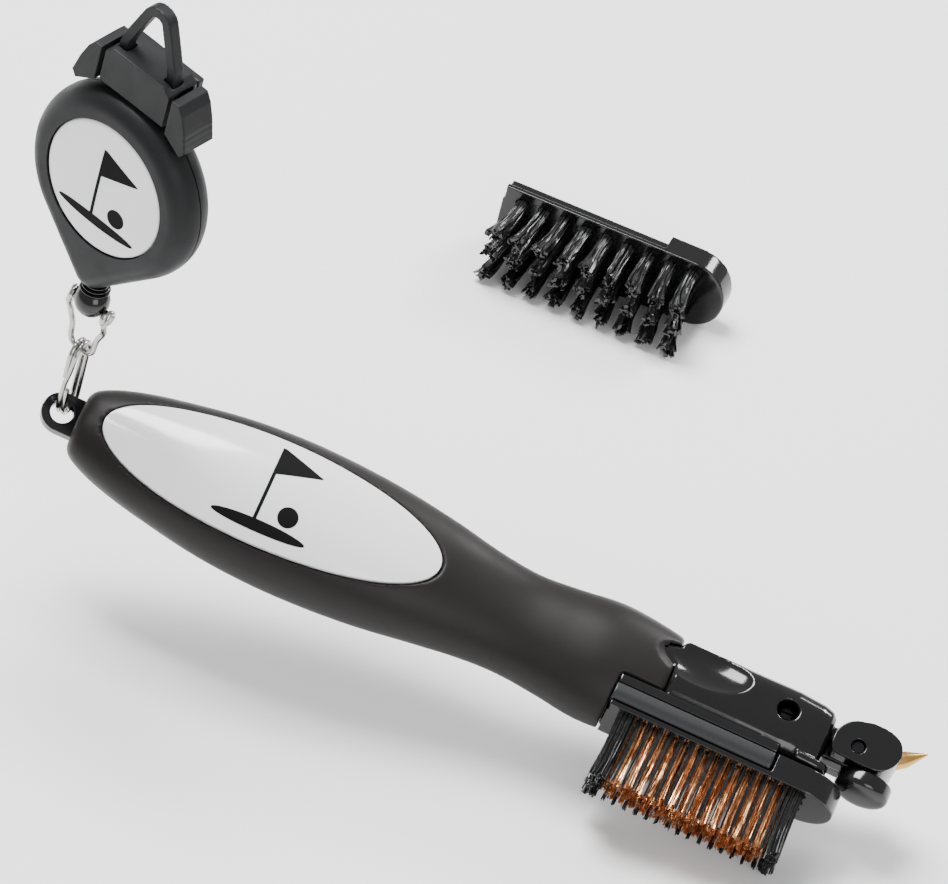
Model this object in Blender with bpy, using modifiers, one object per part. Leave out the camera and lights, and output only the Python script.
"""Club groove brush: a two-sided golf club brush that hangs by a retracting cord from a clip-on reel.

Frame: +Z up, +X along the handle towards its head, origin at the crown of the clip loop, on its inside,
where the strap that holds the object bears. The reel hangs by the loop, its cord is wound in, a bail and
a split ring hang from the cord end, and the handle lies with its tail on the split ring and its bristle
tips on a table. A spare nylon head lies on the same table.
"""

from math import asin, atan2, cos, degrees, hypot, pi, radians, sin

import bmesh
import bpy
from mathutils import Matrix, Vector

MM = 0.001
GAP = 0.3 * MM  # clearance between pieces that touch on the real object

# Reel, in its own frame: x to the right, y to the back, z up, centred on the spool
REEL_RADIUS = 21.8 * MM
REEL_FRONT = 5.8 * MM
REEL_BACK = 5.0 * MM
REEL_ROUNDING = 4.2 * MM
REEL_WALL = 1.7 * MM
NECK_RADIUS = 4.7 * MM
NECK_DROP = 28.5 * MM  # reel centre to the neck's lower end
REEL_TURN = -26.9  # degrees about Z: the reel's face looks a little towards -X
BADGE_RADIUS = 15.5 * MM
CAVITY_RADIUS = 18.6 * MM
AXLE_RADIUS = 1.6 * MM
DRUM_RADIUS = 7.4 * MM
FLANGE_RADIUS = 17.8 * MM
SPOOL_FRONT = -3.4 * MM
SPOOL_BACK = 3.0 * MM
CORD_RADIUS = 0.7 * MM

# Clip on top of the reel
LOOP_CROWN = 44.6 * MM  # reel centre to the inside of the loop's crown
LOOP_LEG = 6.6 * MM
LOOP_BAND = 2.2 * MM
LOOP_DEPTH = 2.8 * MM
HOUSING_LOW = 22.6 * MM
HOUSING_HIGH = 32.0 * MM
HOUSING_HALF = 9.0 * MM
BUTTON_IN = 10.6 * MM

# Chain under the reel, in heights below the reel's centre
BULB_RADIUS = 3.75 * MM
BULB_DROP = 33.8 * MM
PIN_DROP = 35.5 * MM
BAIL_WIRE = 0.7 * MM
BAIL_DROP = 12.0 * MM
RING_WIRE = 0.55 * MM
LINK_HALF_WIDTH = 2.9 * MM
LINK_STRAIGHT = 12.8 * MM
LINK_TURN = 75.0  # degrees about Z, nearly square to the bail's bar

# Handle, in its own frame: x from the lug hole to the head, -y the way the bristles point, z out of the badge
HANDLE_PITCH = 7.4  # degrees, head down
HANDLE_ROLL = 26.4  # degrees about its own length
LUG_HOLE = 2.45 * MM
LUG_END = 4.35 * MM
LUG_THICK = 2.3 * MM
LUG_HALF = 4.35 * MM
GRIP_START = 3.6 * MM
GRIP_END = 136.0 * MM
NOTCH_START = 126.2 * MM  # the grip's lower side stops here, ahead of the brush block
DEPTH_TO_WIDTH = 0.67  # grip thickness over grip width
HEAD_TOP = 10.2 * MM
HEAD_LOW = -5.9 * MM
HEAD_HALF = 8.2 * MM
ROOT_TOP = 9.0 * MM  # the head's root is slimmer, inside the grip
ROOT_HALF = 6.4 * MM
RAIL_ROOF = -3.9 * MM
HEAD_END = 171.0 * MM
PIVOT_S = 177.2 * MM
PIVOT_Y = 3.4 * MM
LIP_START = 126.7 * MM
LIP_END = 162.3 * MM
LIP_LOW = -9.9 * MM
SCREW_S = 161.0 * MM
SCREW_Y = 3.9 * MM

# Brush block, in the frame of its tail end: x along the rail, same y and z as the handle
BLOCK_LENGTH = 51.2 * MM
BLOCK_LOW = -11.4 * MM
BLOCK_HALF = 8.2 * MM
NOSE_START = 36.0 * MM
BRISTLE_LENGTH = 16.0 * MM
FIELD_START = 2.8 * MM
FIELD_END = 44.5 * MM

SPARE_CENTRE = Vector((86 * MM, 132.5 * MM))
SPARE_TURN = -5.5


def material(name, colour, roughness, metallic=0.0):
    mat = bpy.data.materials.new(name)
    mat.use_nodes = True
    shader = mat.node_tree.nodes["Principled BSDF"]
    shader.inputs["Base Color"].default_value = (*colour, 1)
    shader.inputs["Roughness"].default_value = roughness
    shader.inputs["Metallic"].default_value = metallic
    return mat


def clear_scene():
    for obj in list(bpy.data.objects):
        bpy.data.objects.remove(obj)


def new_collection(name, hidden=False):
    collection = bpy.data.collections.new(name)
    collection.hide_render = hidden
    bpy.context.scene.collection.children.link(collection)
    return collection


clear_scene()
PARTS = new_collection("Club groove brush")
CUTTERS = new_collection("Cutters", hidden=True)

CASE_PLASTIC = material("Case plastic", (0.035, 0.035, 0.04), 0.6)
GLOSS_BLACK = material("Gloss black plastic", (0.012, 0.012, 0.013), 0.2)
SOFT_RUBBER = material("Soft grip rubber", (0.055, 0.052, 0.052), 0.55)
WHITE = material("White badge", (0.85, 0.85, 0.84), 0.35)
NICKEL = material("Nickel wire", (0.7, 0.69, 0.67), 0.25, 1.0)
STEEL = material("Steel", (0.55, 0.55, 0.56), 0.3, 1.0)
BRASS = material("Brass", (0.75, 0.5, 0.2), 0.25, 1.0)
BRONZE = material("Bronze bristles", (0.6, 0.3, 0.14), 0.4, 1.0)
NYLON = material("Nylon bristles", (0.012, 0.012, 0.013), 0.4)
CORD = material("Braided cord", (0.02, 0.02, 0.02), 0.8)


def empty(name, parent=None, matrix=None):
    """A frame that pieces are parented to, such as a joint's axis."""
    holder = bpy.data.objects.new(name, None)
    PARTS.objects.link(holder)
    holder.parent = parent
    holder.matrix_local = matrix or Matrix()
    return holder


def place(name, mesh, parent, mat, sharp=35):
    """Makes an object of a mesh: a node with a material, or a hidden cutter without one."""
    obj = bpy.data.objects.new(name, mesh)
    (PARTS if mat else CUTTERS).objects.link(obj)
    obj.parent = parent
    if mat:
        mesh.materials.append(mat)
    else:
        obj.hide_render = True
        obj.display_type = "WIRE"
    mesh.shade_smooth()
    mesh.set_sharp_from_angle(angle=radians(sharp))
    return obj


def from_bmesh(name, bm, parent, mat, sharp=35):
    bmesh.ops.recalc_face_normals(bm, faces=bm.faces)
    mesh = bpy.data.meshes.new(name)
    bm.to_mesh(mesh)
    bm.free()
    return place(name, mesh, parent, mat, sharp)


def box(name, low, high, parent, mat=None, bevel=0.0):
    """A box between two corners, its edges rounded by bevel."""
    bm = bmesh.new()
    size = Vector(high) - Vector(low)
    middle = (Vector(high) + Vector(low)) / 2
    bmesh.ops.create_cube(bm, size=1, matrix=Matrix.Translation(middle) @ Matrix.Diagonal((*size, 1)))
    obj = from_bmesh(name, bm, parent, mat)
    if bevel:
        rounded(obj, bevel)
    return obj


def rounded(obj, width, segments=2, angle=40):
    mod = obj.modifiers.new("Rounded edges", "BEVEL")
    mod.width = width
    mod.segments = segments
    mod.limit_method = "ANGLE"
    mod.angle_limit = radians(angle)


def rod(name, start, end, radius, parent, mat=None, end_radius=None, sides=24):
    """A cylinder, or a cone when end_radius differs, from one point to another."""
    start, end = Vector(start), Vector(end)
    along = end - start
    matrix = Matrix.Translation((start + end) / 2) @ along.to_track_quat("Z", "Y").to_matrix().to_4x4()
    bm = bmesh.new()
    bmesh.ops.create_cone(
        bm,
        cap_ends=True,
        segments=sides,
        radius1=radius,
        radius2=radius if end_radius is None else end_radius,
        depth=along.length,
        matrix=matrix,
    )
    return from_bmesh(name, bm, parent, mat)


def prism(name, outline, low, high, parent, mat=None, plane="XZ"):
    """An outline of (a, b) points extruded between two depths, on the XZ, XY or YZ plane."""
    spots = {
        "XZ": lambda a, b, d: (a, d, b),
        "XY": lambda a, b, d: (a, b, d),
        "YZ": lambda a, b, d: (d, a, b),
    }[plane]
    bm = bmesh.new()
    face = bm.faces.new([bm.verts.new(spots(a, b, low)) for a, b in outline])
    lifted = bmesh.ops.extrude_face_region(bm, geom=[face])["geom"]
    shift = Vector(spots(0, 0, high - low))
    bmesh.ops.translate(bm, vec=shift, verts=[v for v in lifted if isinstance(v, bmesh.types.BMVert)])
    return from_bmesh(name, bm, parent, mat)


def turned(name, profile, parent, mat=None, closed=False, steps=32, matrix=None):
    """A solid of revolution about the local Z. The profile of (radius, height) points runs down its outside."""
    mesh = bpy.data.meshes.new(name)
    edges = [(i, i + 1) for i in range(len(profile) - 1)]
    if closed:
        edges.append((len(profile) - 1, 0))
    mesh.from_pydata([(r, 0, h) for r, h in profile], edges, [])
    obj = place(name, mesh, parent, mat)
    obj.matrix_local = matrix or Matrix()
    screw = obj.modifiers.new("Turned", "SCREW")
    screw.steps = screw.render_steps = steps
    screw.use_merge_vertices = True
    screw.merge_threshold = 0.00001
    return obj


def loft(name, rings, parent, mat=None, sharp=35):
    """A closed skin through rings of equal count, capped at both ends."""
    bm = bmesh.new()
    rows = [[bm.verts.new(p) for p in ring] for ring in rings]
    count = len(rows[0])
    for low, high in zip(rows, rows[1:]):
        for i in range(count):
            j = (i + 1) % count
            bm.faces.new((low[i], low[j], high[j], high[i]))
    bm.faces.new(rows[0])
    bm.faces.new(rows[-1])
    return from_bmesh(name, bm, parent, mat, sharp)


def cut(obj, *cutters, operation="DIFFERENCE"):
    for cutter in cutters:
        mod = obj.modifiers.new(f"{operation.title()} {cutter.name}"[:60], "BOOLEAN")
        mod.operation = operation
        mod.object = cutter
        mod.solver = "EXACT"


def join(obj, *others):
    cut(obj, *others, operation="UNION")


def wire_mesh(name, points, radius, parent, mat=None, cyclic=True, resolution=2):
    """A round wire along points, as a mesh that a Boolean can use."""
    curve = bpy.data.curves.new(name, "CURVE")
    curve.dimensions = "3D"
    curve.bevel_depth = radius
    curve.bevel_resolution = resolution
    curve.use_fill_caps = not cyclic
    spline = curve.splines.new("POLY")
    spline.points.add(len(points) - 1)
    for spot, point in zip(spline.points, points):
        spot.co = (*point, 1)
    spline.use_cyclic_u = cyclic
    guide = bpy.data.objects.new(name, curve)
    PARTS.objects.link(guide)
    bpy.context.view_layer.update()
    graph = bpy.context.evaluated_depsgraph_get()
    mesh = bpy.data.meshes.new_from_object(guide.evaluated_get(graph))
    bpy.data.objects.remove(guide)
    bm = bmesh.new()
    bm.from_mesh(mesh)
    bmesh.ops.remove_doubles(bm, verts=bm.verts, dist=0.000001)
    return from_bmesh(name, bm, parent, mat, sharp=60)


def arc(centre, radius, start, end, count):
    """Points on a circle's arc, with its angles in degrees."""
    steps = [radians(start + (end - start) * i / (count - 1)) for i in range(count)]
    return [(centre[0] + radius * cos(t), centre[1] + radius * sin(t)) for t in steps]


def turn(axis, angle):
    return Matrix.Rotation(radians(angle), 4, axis)


def shift(x=0.0, y=0.0, z=0.0):
    return Matrix.Translation((x, y, z))


# ---------------------------------------------------------------- reel


def reel_outline(inset):
    """The reel seen from the front: a circle drawn down to a small round neck, moved inwards by inset."""
    low = -(NECK_DROP - NECK_RADIUS)
    lean = degrees(asin((REEL_RADIUS - NECK_RADIUS) / -low))
    big = arc((0, 0), REEL_RADIUS - inset, -lean, 180 + lean, 33)
    small = arc((0, low), NECK_RADIUS - inset, 180 + lean, 360 - lean, 7)
    return big + small


def reel_shell(name, depth, side):
    """Half of the reel's case: a domed rim round a flat face, hollow for the spool, with the cord's way out."""
    steps = 5
    rings = []
    for i in range(steps + 1):
        bend = pi / 2 * i / steps
        inset = REEL_ROUNDING * (1 - cos(bend))
        y = side * (GAP / 2 + (depth - GAP / 2) * sin(bend))
        rings.append([(x, y, z) for x, z in reel_outline(inset)])
    shell = loft(name, rings, REEL, CASE_PLASTIC)
    past = side * -MM
    inner = side * (depth - REEL_WALL)
    hollow = rod(f"{name}_hollow", (0, past, 0), (0, inner, 0), CAVITY_RADIUS, REEL, sides=36)
    way = rod(f"{name}_cord_way", (0, 0, -10 * MM), (0, 0, -40 * MM), 1.7 * MM, REEL)
    seat = rod(f"{name}_bush_seat", (0, 0, -24.6 * MM), (0, 0, -27.3 * MM), 3.3 * MM, REEL)
    cut(shell, hollow, way, seat)
    return shell


def make_reel():
    front = reel_shell("reel_front_shell", REEL_FRONT, -1)
    face = -REEL_FRONT
    recess = rod("badge_recess", (0, face - MM, 0), (0, face + 0.9 * MM, 0), BADGE_RADIUS + GAP, REEL, sides=40)
    cut(front, recess)
    facing = turn("X", 90)
    crown = -face + 0.35 * MM
    rim = -face - 0.15 * MM
    base = -face - 0.9 * MM + GAP
    badge = [(0, crown), (8 * MM, crown - 0.1 * MM), (BADGE_RADIUS - 0.7 * MM, rim), (BADGE_RADIUS, rim - 0.3 * MM)]
    turned("reel_badge", badge + [(BADGE_RADIUS, base), (0, base)], REEL, WHITE, steps=36, matrix=facing)

    back = reel_shell("reel_back_shell", REEL_BACK, 1)
    bore = rod("axle_screw_bore", (0, 2 * MM, 0), (0, 6 * MM, 0), AXLE_RADIUS + GAP, REEL)
    head_seat = rod("axle_screw_seat", (0, REEL_BACK - MM, 0), (0, 6 * MM, 0), 3.6 * MM, REEL)
    cut(back, bore, head_seat)
    head = -REEL_BACK + 0.1 * MM
    under_head = head + 0.6 * MM
    front_end = -SPOOL_FRONT + 0.2 * MM
    axle = [(0, front_end), (AXLE_RADIUS, front_end), (AXLE_RADIUS, under_head), (3.2 * MM, under_head)]
    axle += [(3.2 * MM, head + 0.3 * MM), (2.6 * MM, head), (0, head)]
    turned("spool_axle_screw", axle, REEL, STEEL, steps=24, matrix=facing)
    slot = box("axle_slot", (-2.2 * MM, REEL_BACK - 0.45 * MM, -0.35 * MM), (2.2 * MM, 6 * MM, 0.35 * MM), REEL)
    cut(bpy.data.objects["spool_axle_screw"], slot)

    bush = [(1.3 * MM, 2.2 * MM), (3.0 * MM, 2.2 * MM), (3.0 * MM, 0.3 * MM), (1.9 * MM, 0), (1.3 * MM, 0.5 * MM)]
    turned("exit_bush", bush, REEL, STEEL, closed=True, steps=20, matrix=shift(z=-27.1 * MM))
    mainspring()


def mainspring():
    """A flat steel strip coiled inside the drum, which winds the cord back in."""
    turns = 4
    per_turn = 16
    inner = 2.3 * MM
    outer = DRUM_RADIUS - 1.7 * MM
    bm = bmesh.new()
    strip = []
    for i in range(turns * per_turn + 1):
        t = i / per_turn
        r = inner + (outer - inner) * t / turns
        a = 2 * pi * t
        strip.append(bm.verts.new((r * cos(a), -1.6 * MM, r * sin(a))))
    edges = [bm.edges.new(pair) for pair in zip(strip, strip[1:])]
    wide = bmesh.ops.extrude_edge_only(bm, edges=edges)["geom"]
    bmesh.ops.translate(bm, vec=(0, 4.2 * MM, 0), verts=[v for v in wide if isinstance(v, bmesh.types.BMVert)])
    spring = from_bmesh("mainspring", bm, REEL, STEEL)
    thick = spring.modifiers.new("Strip", "SOLIDIFY")
    thick.thickness = 0.25 * MM
    thick.offset = 0


def make_spool():
    """The drum with two flanges, open at the back for the mainspring, and the cord wound on it."""
    front, back = SPOOL_FRONT, SPOOL_BACK
    flange = 0.8 * MM
    wall = DRUM_RADIUS - MM
    bore = AXLE_RADIUS + GAP
    profile = [(bore, -front), (FLANGE_RADIUS, -front), (FLANGE_RADIUS, -front - flange)]
    profile += [(DRUM_RADIUS, -front - flange), (DRUM_RADIUS, -back + flange), (FLANGE_RADIUS, -back + flange)]
    profile += [(FLANGE_RADIUS, -back), (wall, -back), (wall, -front - flange), (bore, -front - flange)]
    turned("spool", profile, SPOOL, GLOSS_BLACK, closed=True, matrix=turn("X", 90))
    inside, outside = DRUM_RADIUS + GAP, 14.6 * MM
    top, low = -front - flange - GAP, -back + flange + GAP
    coil = [(inside, top), (outside - 0.8 * MM, top), (outside, top - 0.8 * MM), (outside, low + 0.8 * MM)]
    coil += [(outside - 0.8 * MM, low), (inside, low)]
    turned("wound_cord", coil, SPOOL, CORD, closed=True, steps=32, matrix=turn("X", 90))


# ---------------------------------------------------------------- clip


def make_clip_housing():
    """The block on top of the reel that takes the loop's legs, with the plate that carries it down the back."""
    half, low, high = HOUSING_HALF, HOUSING_LOW, HOUSING_HIGH
    outline = [(-half, low), (half, low), (half, high - 1.5 * MM), (half - 1.8 * MM, high)]
    outline += [(1.8 * MM - half, high), (-half, high - 1.5 * MM)]
    housing = prism("clip_housing", outline, -3.6 * MM, 5.0 * MM, REEL, CASE_PLASTIC)
    tongue = [(-half, 30.5 * MM), (-half, 14 * MM), (-5 * MM, 6 * MM), (5 * MM, 6 * MM), (half, 14 * MM)]
    tongue += [(half, 30.5 * MM)]
    plate = prism("clip_back_plate", tongue, REEL_BACK + GAP, 7.2 * MM, REEL, CASE_PLASTIC)
    rounded(plate, 0.5 * MM)
    slide_way = box("button_way", (-half - MM, -2.0 * MM, 25.2 * MM), (half + MM, 4.0 * MM, 30.2 * MM), REEL)
    rim = rod("reel_rim_relief", (0, -6 * MM, 0), (0, 5.1 * MM, 0), REEL_RADIUS + GAP, REEL, sides=64)
    cut(housing, slide_way, rim)
    for side in (-1, 1):
        inner = side * (LOOP_LEG - LOOP_BAND / 2 - GAP)
        outer = side * (LOOP_LEG + LOOP_BAND / 2 + GAP)
        y = LOOP_DEPTH / 2 + GAP
        low_corner = (min(inner, outer), -y, 23.9 * MM)
        socket = box(f"loop_socket{side:+d}", low_corner, (max(inner, outer), y, high + MM), REEL)
        cut(housing, socket)
    for side in (-1, 1):
        x = side * 5.6 * MM
        name = "left" if side < 0 else "right"
        seat = rod(f"rivet_seat_{name}", (x, 5.9 * MM, 17.5 * MM), (x, 9 * MM, 17.5 * MM), 1.9 * MM, REEL)
        cut(plate, seat)
        rivet = [(0, 7.1), (1.2, 7.0), (1.6, 6.7), (1.6, 6.2), (0, 6.2)]
        rivet = [(r * MM, h * MM) for r, h in rivet]
        facing_back = shift(x, 0, 17.5 * MM) @ turn("X", -90)
        turned(f"clip_rivet_{name}", rivet, REEL, STEEL, steps=16, matrix=facing_back)


def make_clip_loop():
    """A flat band bent into an inverted U that narrows to its crown, notched inside for the button hooks."""
    half = LOOP_BAND / 2
    crown = 2.8 * MM
    shoulder = LOOP_CROWN + half - crown
    route = [(LOOP_LEG, 24.2 * MM), (LOOP_LEG, 32.0 * MM), (LOOP_LEG - 0.2 * MM, 34.5 * MM)]
    route += arc((0, shoulder), crown, 20, 160, 9)
    route += [(0.2 * MM - LOOP_LEG, 34.5 * MM), (-LOOP_LEG, 32.0 * MM), (-LOOP_LEG, 24.2 * MM)]
    outer, inner = [], []
    for i, (x, z) in enumerate(route):
        before, after = route[max(i - 1, 0)], route[min(i + 1, len(route) - 1)]
        dx, dz = after[0] - before[0], after[1] - before[1]
        length = hypot(dx, dz)
        outer.append((x + half * dz / length, z - half * dx / length))
        inner.append((x - half * dz / length, z + half * dx / length))
    depth = LOOP_DEPTH / 2
    loop = prism("clip_loop", outer + inner[::-1], -depth, depth, LOOP, CASE_PLASTIC)
    for side in (-1, 1):
        ends = sorted((side * 4.5 * MM, side * 6.5 * MM))
        notch = box(f"hook_notch{side:+d}", (ends[0], -3 * MM, 26.4 * MM), (ends[1], 3 * MM, 29.0 * MM), LOOP)
        cut(loop, notch)


def make_button(side):
    """A ribbed pinch button, whose arm passes behind the loop's leg and hooks into the notch on its inside."""
    name = "left" if side < 0 else "right"
    parent = BUTTONS[side]
    outline = [(10.6, 31.8), (13.4, 31.8), (15.0, 29.6), (16.4, 24.0), (17.2, 19.4), (15.4, 18.0), (10.6, 21.5)]
    outline = [(x * MM, z * MM) for x, z in outline]
    button = prism(
        f"pinch_button_{name}", [(side * x, z) for x, z in outline], -3.8 * MM, 5.0 * MM, parent, CASE_PLASTIC
    )
    shoulder = rod(f"shoulder_relief_{name}", (0, -6 * MM, 0), (0, 6 * MM, 0), 23.5 * MM, parent, sides=64)
    cut(button, shoulder)
    for i in range(5):
        z = (20.6 + 1.9 * i) * MM
        outside = (17.2 - 0.215 * (z / MM - 19.4)) * MM
        groove = [(outside + MM, z - 0.55 * MM), (outside + MM, z + 0.55 * MM), (outside - 0.7 * MM, z)]
        cutter = prism(f"grip_groove_{name}{i}", [(side * x, h) for x, h in groove], -6 * MM, 6 * MM, parent)
        cut(button, cutter)
    arm_ends = sorted((side * 4.9 * MM, side * (BUTTON_IN + 0.5 * MM)))
    arm = box(f"button_arm_{name}", (arm_ends[0], 2.7 * MM, 26.7 * MM), (arm_ends[1], 3.7 * MM, 28.7 * MM), parent)
    tooth_ends = sorted((side * 4.9 * MM, side * 6.1 * MM))
    tooth = box(f"button_tooth_{name}", (tooth_ends[0], -1.6 * MM, 26.7 * MM), (tooth_ends[1], 3.2 * MM, 28.7 * MM), parent)
    join(button, arm, tooth)


def make_latch_spring():
    """The small coil spring that pushes the two button hooks apart."""
    turns, per_turn = 6, 10
    reach = 3.85 * MM
    points = []
    for i in range(turns * per_turn + 1):
        t = i / (turns * per_turn)
        a = 2 * pi * turns * t
        points.append(((2 * t - 1) * reach, 1.0 * MM + 1.1 * MM * cos(a), 27.7 * MM + 1.1 * MM * sin(a)))
    wire_mesh("latch_spring", points, 0.25 * MM, REEL, STEEL, cyclic=False, resolution=0)


# ---------------------------------------------------------------- chain


def make_cord_end():
    """The lead of cord inside the neck, the ribbed strain relief and the ball that the bail is pinned through."""
    rod("cord_lead", (0, 0, -15.2 * MM), (0, 0, -28.3 * MM), CORD_RADIUS, CORD_END, CORD, sides=10)
    top = -28.7 * MM
    ribs = [(0, top)]
    for i in range(3):
        z = top - i * 0.75 * MM
        r = (2.4 + 0.35 * i) * MM
        ribs += [(r, z), (r + 0.15 * MM, z - 0.4 * MM), (r - 0.35 * MM, z - 0.42 * MM)]
    ribs += [(2.2 * MM, top - 2.2 * MM)]
    start = asin(2.2 * MM / BULB_RADIUS)
    ball = []
    for i in range(1, 11):
        a = start + (pi - start) * i / 10
        ball.append((BULB_RADIUS * sin(a), -BULB_DROP + BULB_RADIUS * cos(a)))
    ball[-1] = (0, -BULB_DROP - BULB_RADIUS)
    shell = turned("cord_end_ball", ribs + ball, CORD_END, GLOSS_BLACK, steps=20)
    reach = 5.6 * MM
    bore = rod("bail_pin_bore", (-9 * MM, 0, -PIN_DROP), (9 * MM, 0, -PIN_DROP), 0.75 * MM + GAP, CORD_END, sides=16)
    cut(shell, bore)
    rod("bail_pin", (-reach, 0, -PIN_DROP), (reach, 0, -PIN_DROP), 0.75 * MM, CORD_END, STEEL, sides=16)


def make_bail():
    """A bent wire triangle with an eye at each end round the pin, one each side of the ball."""
    eye = 1.75 * MM
    side = 4.9 * MM
    low = BAIL_DROP
    right = [(side, -eye), (side - 0.1 * MM, -3.5 * MM), (side - 1.4 * MM, -7.2 * MM)]
    right += arc((1.0 * MM, 2.2 * MM - low), 2.2 * MM, -10, -75, 5)
    route = right + [(-x, z) for x, z in reversed(right)]
    wire = wire_mesh("wire_bail", [(x, 0, z) for x, z in route], BAIL_WIRE, BAIL, NICKEL, cyclic=False)
    for x in (-side, side):
        profile = [(1.05 * MM, 0.7 * MM), (eye + 0.35 * MM, 0.7 * MM), (eye + 0.35 * MM, -0.7 * MM), (1.05 * MM, -0.7 * MM)]
        loop = turned(f"bail_eye{x * 1000:+.0f}", profile, BAIL, closed=True, steps=18, matrix=shift(x) @ turn("Y", 90))
        join(wire, loop)


def make_split_ring():
    """Two turns of wire side by side, drawn out into a long oval."""
    half, straight = LINK_HALF_WIDTH, LINK_STRAIGHT
    lower = -half - straight
    oval = arc((0, lower), half, 180, 360, 11) + arc((0, -half), half, 0, 180, 11)
    wires = []
    for side in (-1, 1):
        y = side * 0.48 * MM
        name = "split_ring" if side < 0 else "split_ring_second_turn"
        made = wire_mesh(name, [(x, y, z) for x, z in oval], RING_WIRE, LINK, NICKEL if side < 0 else None)
        wires.append(made)
    join(*wires)


# ---------------------------------------------------------------- handle


def grip_width(s):
    """Half width of the handle at a distance from the lug hole: a full belly, a waist and a flare to the head."""
    spots = [(3, 6.2), (6, 8.3), (10, 10.1), (16, 11.9), (24, 13.6), (36, 15.6), (48, 16.5), (60, 16.4), (72, 15.5)]
    spots += [(84, 13.8), (94, 12.2), (103, 11.5), (112, 12.2), (121, 13.3), (128, 13.0), (136, 11.9)]
    spots = [(a * MM, w * MM) for a, w in spots]
    s = min(max(s, spots[0][0]), spots[-1][0])
    for i in range(len(spots) - 1):
        if s <= spots[i + 1][0]:
            break
    (s0, w0), (s1, w1) = spots[i], spots[i + 1]
    before = spots[max(i - 1, 0)]
    after = spots[min(i + 2, len(spots) - 1)]
    slope0 = (w1 - before[1]) / (s1 - before[0])
    slope1 = (after[1] - w0) / (after[0] - s0)
    t = (s - s0) / (s1 - s0)
    run = s1 - s0
    ease = 2 * t**3 - 3 * t**2 + 1
    return ease * w0 + (t**3 - 2 * t**2 + t) * run * slope0 + (1 - ease) * w1 + (t**3 - t**2) * run * slope1


def grip_ring(s, inset=0.0, count=32, power=2.15):
    """One section of the grip: nearly an ellipse, wider than thick, moved inwards by inset."""
    width = grip_width(s) - inset
    depth = grip_width(s) * DEPTH_TO_WIDTH - inset
    drop = -0.6 * MM * min(max((s - 84 * MM) / (20 * MM), 0), 1)
    ring = []
    for i in range(count):
        a = 2 * pi * i / count
        c, n = cos(a), sin(a)
        y = width * abs(c) ** (2 / power) * (1 if c >= 0 else -1)
        z = depth * abs(n) ** (2 / power) * (1 if n >= 0 else -1)
        ring.append((s, y + drop, z))
    return ring


def grip_stations(start, end, step):
    count = round((end - start) / step)
    return [start + (end - start) * i / count for i in range(count + 1)]


def badge_outline(extra):
    """The long oval of the handle badge, from above, grown by extra."""
    centre, half_length, half_width = 46.3 * MM, 37.6 * MM + extra, 11.9 * MM + extra
    ring = []
    for i in range(40):
        a = 2 * pi * i / 40
        ring.append((centre + half_length * cos(a), half_width * sin(a)))
    return ring


def make_grip():
    """The soft overmould: a sleeve round the core with a recess for the badge."""
    rings = [grip_ring(GRIP_START + d, inset) for d, inset in ((0, 1.1 * MM), (0.5 * MM, 0.4 * MM), (1.4 * MM, 0))]
    rings += [grip_ring(s) for s in grip_stations(GRIP_START + 4.4 * MM, GRIP_END - 1.2 * MM, 7.7 * MM)]
    rings += [grip_ring(GRIP_END, 0.8 * MM)]
    grip = loft("soft_grip", rings, HANDLE, SOFT_RUBBER)
    core = [grip_ring(s, 3.2 * MM, count=20) for s in grip_stations(12 * MM, 120 * MM, 12 * MM)]
    hollow = loft("grip_hollow", core, HANDLE)
    tail = box("grip_tail_way", (0, -LUG_HALF - GAP, -LUG_THICK / 2 - GAP), (14 * MM, LUG_HALF + GAP, LUG_THICK / 2 + GAP), HANDLE)
    reach = ROOT_HALF + GAP
    sleeve = [head_ring(s * MM, ROOT_TOP + GAP, HEAD_LOW - GAP, reach) for s in (118, 127.5, 137)]
    nose = loft("grip_nose_way", sleeve, HANDLE)
    notch = box("grip_notch", (NOTCH_START, -20 * MM, -20 * MM), (GRIP_END + MM, RAIL_ROOF + GAP, 20 * MM), HANDLE)
    recess = prism("handle_badge_recess", badge_outline(GAP), 0, 20 * MM, HANDLE, plane="XY")
    floor = [grip_ring(s, 1.4 * MM) for s in grip_stations(6 * MM, 90 * MM, 6 * MM)]
    recess_floor = loft("badge_recess_floor", floor, HANDLE)
    cut(recess, recess_floor)
    cut(grip, hollow, tail, nose, notch, recess, scoop_cutter())


def make_handle_badge():
    """An oval plate that follows the grip's round surface and stands a little proud of it."""
    rings = [grip_ring(s, -0.3 * MM) for s in grip_stations(4 * MM, 90 * MM, 5.7 * MM)]
    badge = loft("handle_badge", rings, HANDLE, WHITE)
    oval = prism("handle_badge_oval", badge_outline(0), 0, 20 * MM, HANDLE, plane="XY")
    floor = [grip_ring(s, 1.4 * MM - GAP) for s in grip_stations(3 * MM, 91 * MM, 5.9 * MM)]
    under = loft("handle_badge_under", floor, HANDLE)
    cut(badge, oval, operation="INTERSECT")
    cut(badge, under)


def head_ring(s, top, low, half, count=28, power=3.4):
    ring = []
    for i in range(count):
        a = 2 * pi * i / count
        c, n = cos(a), sin(a)
        y = abs(c) ** (2 / power) * (1 if c >= 0 else -1)
        z = half * abs(n) ** (2 / power) * (1 if n >= 0 else -1)
        ring.append((s, (top + low) / 2 + (top - low) / 2 * y, z))
    return ring


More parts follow.
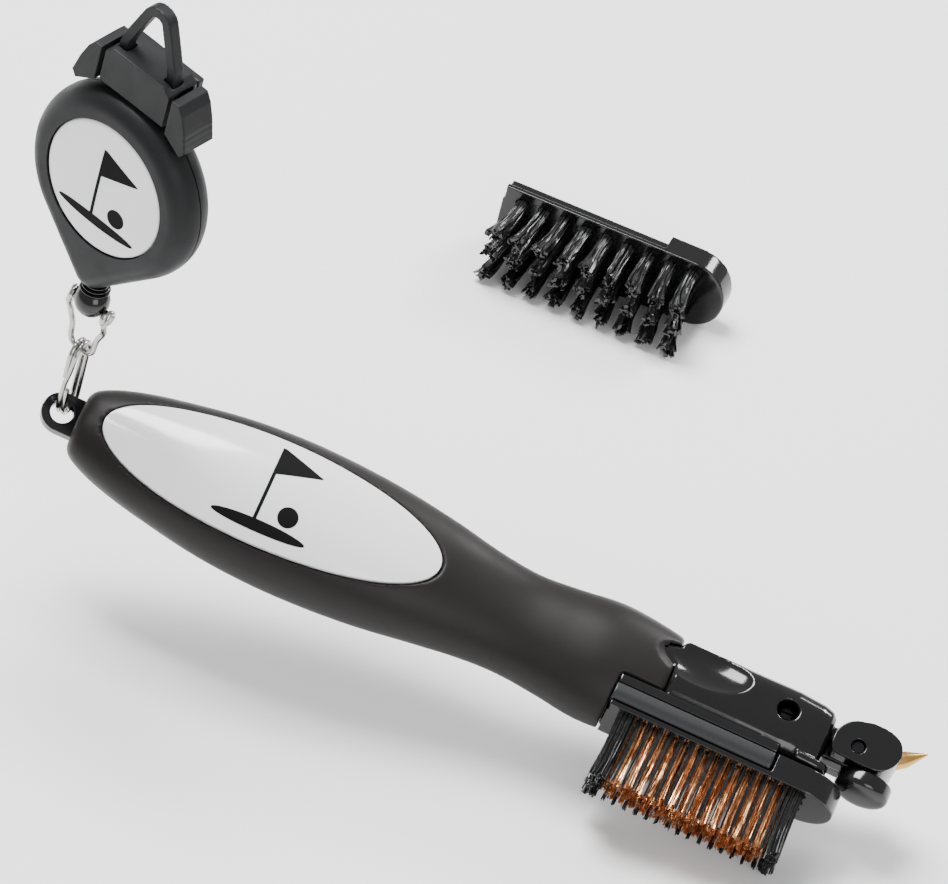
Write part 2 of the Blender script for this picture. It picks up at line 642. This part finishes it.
def make_core():
    """The rigid core: lug, spine, head, C-shaped rail under the head, and the tongue that carries the pick."""
    rings = [grip_ring(s, 3.2 * MM + GAP, count=20) for s in grip_stations(12.3 * MM, 119.7 * MM, 11.9 * MM)]
    core = loft("handle_core", rings, HANDLE, GLOSS_BLACK)
    corner = LUG_HALF
    tab_outline = [(14 * MM, -corner), (14 * MM, corner)]
    tab_outline += arc((corner - LUG_END, 0), corner, 90, 270, 13)
    tab = prism("lug_tab", tab_outline, -LUG_THICK / 2, LUG_THICK / 2, HANDLE, plane="XY")
    hole = rod("lug_hole", (0, 0, -5 * MM), (0, 0, 5 * MM), LUG_HOLE, HANDLE)
    cut(tab, hole)

    top, low, half = HEAD_TOP, HEAD_LOW, HEAD_HALF
    root = loft(
        "head_root", [head_ring(s * MM, ROOT_TOP, low, ROOT_HALF) for s in (118.4, 130, 139)], HANDLE
    )
    start = GRIP_END / MM + 0.3
    stations = [(start, 0.8, 0.0, 0.8), (start + 1.0, 0.2, 0.0, 0.0), (152, 0.2, 0.0, 0.0), (162, 0.0, 0.0, 0.1)]
    stations += [(168, 0.4, 0.0, 0.6), (170, 0.9, 0.2, 1.2), (HEAD_END / MM, 2.0, 1.4, 2.4)]
    head = loft(
        "handle_head", [head_ring(s * MM, top - t * MM, low + u * MM, half - h * MM) for s, t, u, h in stations], HANDLE
    )
    section = [(8.4, RAIL_ROOF / MM), (8.4, LIP_LOW / MM + 0.8), (7.7, LIP_LOW / MM), (5.1, LIP_LOW / MM)]
    section += [(5.1, -8.8), (6.6, -8.8), (6.6, -6.0)]
    outline = [(y * MM, z * MM) for z, y in section]
    outline += [(y, -z) for y, z in reversed(outline)]
    rail = prism("head_rail", outline, LIP_START, LIP_END, HANDLE, plane="YZ")
    tongue_outline = [(160 * MM, PIVOT_Y - 3.6 * MM), (PIVOT_S, PIVOT_Y - 3.6 * MM)]
    tongue_outline += arc((PIVOT_S, PIVOT_Y), 3.6 * MM, -75, 75, 9)
    tongue_outline += [(PIVOT_S, PIVOT_Y + 3.6 * MM), (160 * MM, PIVOT_Y + 3.6 * MM)]
    tongue = prism("pick_tongue", tongue_outline, -2.3 * MM, 2.3 * MM, HANDLE, plane="XY")
    join(core, tab, root, head, rail, tongue)

    pivot = rod("pivot_bore", (PIVOT_S, PIVOT_Y, -9 * MM), (PIVOT_S, PIVOT_Y, 9 * MM), 1.25 * MM + GAP, HANDLE, sides=16)
    scoop = scoop_cutter()
    well = rod("screw_well", (SCREW_S, SCREW_Y, 3.0 * MM), (SCREW_S, SCREW_Y, 12 * MM), 2.2 * MM, HANDLE)
    mouth = rod(
        "screw_well_chamfer", (SCREW_S, SCREW_Y, 7.1 * MM), (SCREW_S, SCREW_Y, 9.1 * MM), 1.9 * MM, HANDLE, end_radius=3.4 * MM
    )
    cut(core, pivot, scoop, well, mouth)
    head_at = 5.4
    screw = [(0, head_at), (1.2, head_at - 0.1), (1.8, head_at - 0.5), (1.8, 3.3), (0, 3.3)]
    body = turned(
        "head_screw", [(r * MM, h * MM) for r, h in screw], HANDLE, STEEL, steps=20, matrix=shift(SCREW_S, SCREW_Y)
    )
    drive = box("screw_drive", (-1.3 * MM, -0.25 * MM, 4.7 * MM), (1.3 * MM, 0.25 * MM, 7 * MM), body)
    cut(body, drive)
    rod("pick_pivot_pin", (PIVOT_S, PIVOT_Y, -5.9 * MM), (PIVOT_S, PIVOT_Y, 5.9 * MM), 1.25 * MM, HANDLE, STEEL, sides=16)


def scoop_cutter():
    """The thumb scoop: a long ellipsoid sunk into the head's front."""
    bm = bmesh.new()
    middle = shift(141.4 * MM, 5.2 * MM, 10.2 * MM) @ turn("X", -25) @ Matrix.Diagonal((12.0, 7.6, 4.6, 1))
    bmesh.ops.create_uvsphere(bm, u_segments=24, v_segments=12, radius=MM, matrix=middle)
    return from_bmesh("thumb_scoop", bm, HANDLE, None)


# ---------------------------------------------------------------- pick


def make_pick():
    """The fold-out pick: a forked arm on the tongue, the thumb knob under it and the brass point."""
    lean = atan2(5.1, 6.3)
    base = Vector((184.6 * MM, 5.5 * MM, 0)) - Vector((PIVOT_S, PIVOT_Y, 0))
    direction = Vector((cos(lean), sin(lean), 0))
    outline = [(1.0, 6.1), (4.8, 6.0), (7.6, 4.9), (9.0, 2.2), (8.6, -0.6), (6.0, -3.4), (-0.5, -3.4)]
    outline = [(x * MM, y * MM) for x, y in reversed(outline)]
    outline += arc((0, 0), 5.6 * MM, 100, 215, 8)
    arm = prism("pick_arm", outline, -6.6 * MM, 6.6 * MM, PICK, GLOSS_BLACK, plane="XY")
    rounded(arm, 1.0 * MM)
    fork = box("pick_fork_slot", (-8 * MM, -6 * MM, -2.7 * MM), (4.1 * MM, 9 * MM, 2.7 * MM), PICK)
    pin_bore = rod("pick_pin_bore", (0, 0, -5.0 * MM), (0, 0, 5.0 * MM), 1.25 * MM + GAP, PICK, sides=16)
    pin_way = rod("pick_pin_way", (0, 0, -9 * MM), (0, 0, 9 * MM), 1.25 * MM + GAP, PICK, sides=16)
    seat = rod("pick_seat", base - direction * 2.5 * MM, base + direction * 8 * MM, 1.8 * MM + GAP, PICK)
    cut(arm, fork, pin_bore, pin_way, seat)

    knob_top = -3.7
    dome = [(0, knob_top), (5.5, knob_top), (5.9, knob_top - 0.5), (5.9, knob_top - 2.6), (5.2, knob_top - 3.4)]
    dome += [(3.6, knob_top - 4.2), (1.8, knob_top - 4.55), (0, knob_top - 4.65)]
    turned(
        "pick_knob", [(r * MM, h * MM) for r, h in dome], PICK, GLOSS_BLACK, steps=32, matrix=shift(4.3 * MM) @ turn("X", -90)
    )
    tip = [(0, 10.6), (0.12, 10.5), (1.75, 5.6), (1.75, 0), (0, 0)]
    facing = direction.to_track_quat("Z", "Y").to_matrix().to_4x4()
    at = Matrix.Translation(base - direction * 2.2 * MM) @ facing
    turned("brass_pick", [(r * MM, h * MM) for r, h in tip], PICK, BRASS, steps=24, matrix=at)


# ---------------------------------------------------------------- brush heads


def tuft_spots(columns, rows):
    """Places of the tuft holes along and across the block, as (x, z)."""
    first, last = FIELD_START + 1.3 * MM, FIELD_END - 1.3 * MM
    spots = []
    for i in range(columns):
        x = first + (last - first) * i / (columns - 1)
        spots += [(x, (2 * k / (rows - 1) - 1) * 5.4 * MM) for k in range(rows)]
    return spots


def make_block(name, parent, columns, rows):
    """The head's rail and base: a T-shaped rail ahead of a full round nose, drilled for the tufts."""
    section = [(8.2, BLOCK_LOW / MM), (8.2, -10.2), (4.7, -10.2), (4.7, -8.5), (6.2, -8.5), (6.2, -6.3)]
    section = [(y * MM, z * MM) for z, y in section]
    section += [(y, -z) for y, z in reversed(section)]
    block = prism(name, section, 0, BLOCK_LENGTH - 9 * MM, parent, GLOSS_BLACK, plane="YZ")
    end = BLOCK_LENGTH - 7.6 * MM
    nose_outline = [(NOSE_START, -BLOCK_HALF), (end, -BLOCK_HALF)]
    nose_outline += [(end + 7.6 * MM * cos(a), BLOCK_HALF * sin(a)) for a in [radians(t) for t in range(-75, 90, 15)]]
    nose_outline += [(end, BLOCK_HALF), (NOSE_START, BLOCK_HALF)]
    bm = bmesh.new()
    face = bm.faces.new([bm.verts.new((x, BLOCK_LOW, z)) for x, z in nose_outline])
    lifted = bmesh.ops.extrude_face_region(bm, geom=[face])["geom"]
    rise = Vector((0, -6.0 * MM - BLOCK_LOW, 0))
    bmesh.ops.translate(bm, vec=rise, verts=[v for v in lifted if isinstance(v, bmesh.types.BMVert)])
    nose = from_bmesh(f"{name}_nose", bm, parent, None)
    rounded(nose, 0.8 * MM)
    end_plate = box(f"{name}_end_plate", (0, BLOCK_LOW, -4.7 * MM), (1.4 * MM, -6.0 * MM, 4.7 * MM), parent)
    join(block, nose, end_plate)
    for i, (x, z) in enumerate(tuft_spots(columns, rows)):
        start, end = (x, BLOCK_LOW - MM, z), (x, BLOCK_LOW + 1.0 * MM, z)
        cut(block, rod(f"{name}_hole{i}", start, end, 1.0 * MM, parent, sides=6))


def bristle_field(name, low, high, half, flare, parent, mat):
    """A plain solid for a field of bristles, which spreads from its roots to its tips."""
    rings = []
    root = BLOCK_LOW - GAP
    for y, out in ((root, 0), (root - BRISTLE_LENGTH, flare)):
        spread = 2.0 * MM
        ring = []
        corners = ((high + out, half + out / 2, 0), (low - out, half + out / 2, 90))
        corners += ((low - out, -half - out / 2, 180), (high + out, -half - out / 2, 270))
        for x, z, first in corners:
            cx = x - spread if first in (0, 270) else x + spread
            cz = z - spread if first in (0, 90) else z + spread
            ring += [(a, y, b) for a, b in arc((cx, cz), spread, first, first + 90, 4)]
        rings.append(ring)
    return loft(name, rings, parent, mat)


def make_brush_head():
    make_block("brush_block", BRUSH, 12, 4)
    nylon = bristle_field("nylon_bristles", FIELD_START, FIELD_END, 6.9 * MM, 1.0 * MM, BRUSH, NYLON)
    core = bristle_field("bronze_space", 6.6 * MM, 40.7 * MM, 3.9 * MM, 0.6 * MM, BRUSH, None)
    core.scale = (1, 1.2, 1)
    core.location = (0, -BLOCK_LOW * 0.2 + MM, 0)
    cut(nylon, core)
    bristle_field("bronze_bristles", 7.2 * MM, 40.1 * MM, 3.3 * MM, 0.4 * MM, BRUSH, BRONZE)


def make_spare_head():
    make_block("spare_block", SPARE, 9, 3)
    bristle_field("spare_nylon_bristles", FIELD_START, FIELD_END, 6.4 * MM, 1.8 * MM, SPARE, NYLON)


# ---------------------------------------------------------------- frames

REEL_AT = shift(z=-LOOP_CROWN) @ turn("Z", REEL_TURN)
REEL = empty("Reel frame", matrix=REEL_AT)
SPOOL = empty("Spool axis", REEL)
LOOP = empty("Clip loop slide", REEL)
BUTTONS = {side: empty(f"Button slide {side:+d}", REEL) for side in (-1, 1)}
CORD_END = empty("Cord end slide", REEL)
BAIL = empty("Bail pin axis", CORD_END, shift(z=-PIN_DROP))
LINK_RISE = BAIL_WIRE + GAP + RING_WIRE - BAIL_DROP + 0.07 * MM
LINK = empty("Split ring axis", BAIL, shift(z=LINK_RISE) @ turn("Z", LINK_TURN - REEL_TURN))
LUG_BAR = LINK_RISE - LOOP_CROWN - PIN_DROP - LINK_HALF_WIDTH - LINK_STRAIGHT - 0.3 * MM
WALL_MIDDLE = (LUG_HOLE + LUG_END) / 2  # from the lug hole to the middle of the wall that the ring holds
HANDLE_AT = shift(z=LUG_BAR) @ turn("Y", HANDLE_PITCH) @ turn("X", HANDLE_ROLL) @ shift(y=-WALL_MIDDLE)
HANDLE = empty("Handle frame", matrix=HANDLE_AT)
PICK = empty("Pick pivot", HANDLE, shift(PIVOT_S, PIVOT_Y))
BRUSH = empty("Brush head slide", HANDLE, shift(LIP_START + GAP))
TABLE = min((HANDLE_AT @ Vector((172.5 * MM, BLOCK_LOW - BRISTLE_LENGTH - GAP, z * MM))).z for z in (-7.4, 7.4))
SPARE_AT = shift(*SPARE_CENTRE, TABLE + BLOCK_HALF) @ turn("Z", SPARE_TURN) @ shift(-BLOCK_LENGTH / 2, 15 * MM)
SPARE = empty("Spare head frame", matrix=SPARE_AT)

make_reel()
make_spool()
make_clip_housing()
make_clip_loop()
for button_side in (-1, 1):
    make_button(button_side)
make_latch_spring()
make_cord_end()
make_bail()
make_split_ring()
make_grip()
make_handle_badge()
make_core()
make_pick()
make_brush_head()
make_spare_head()
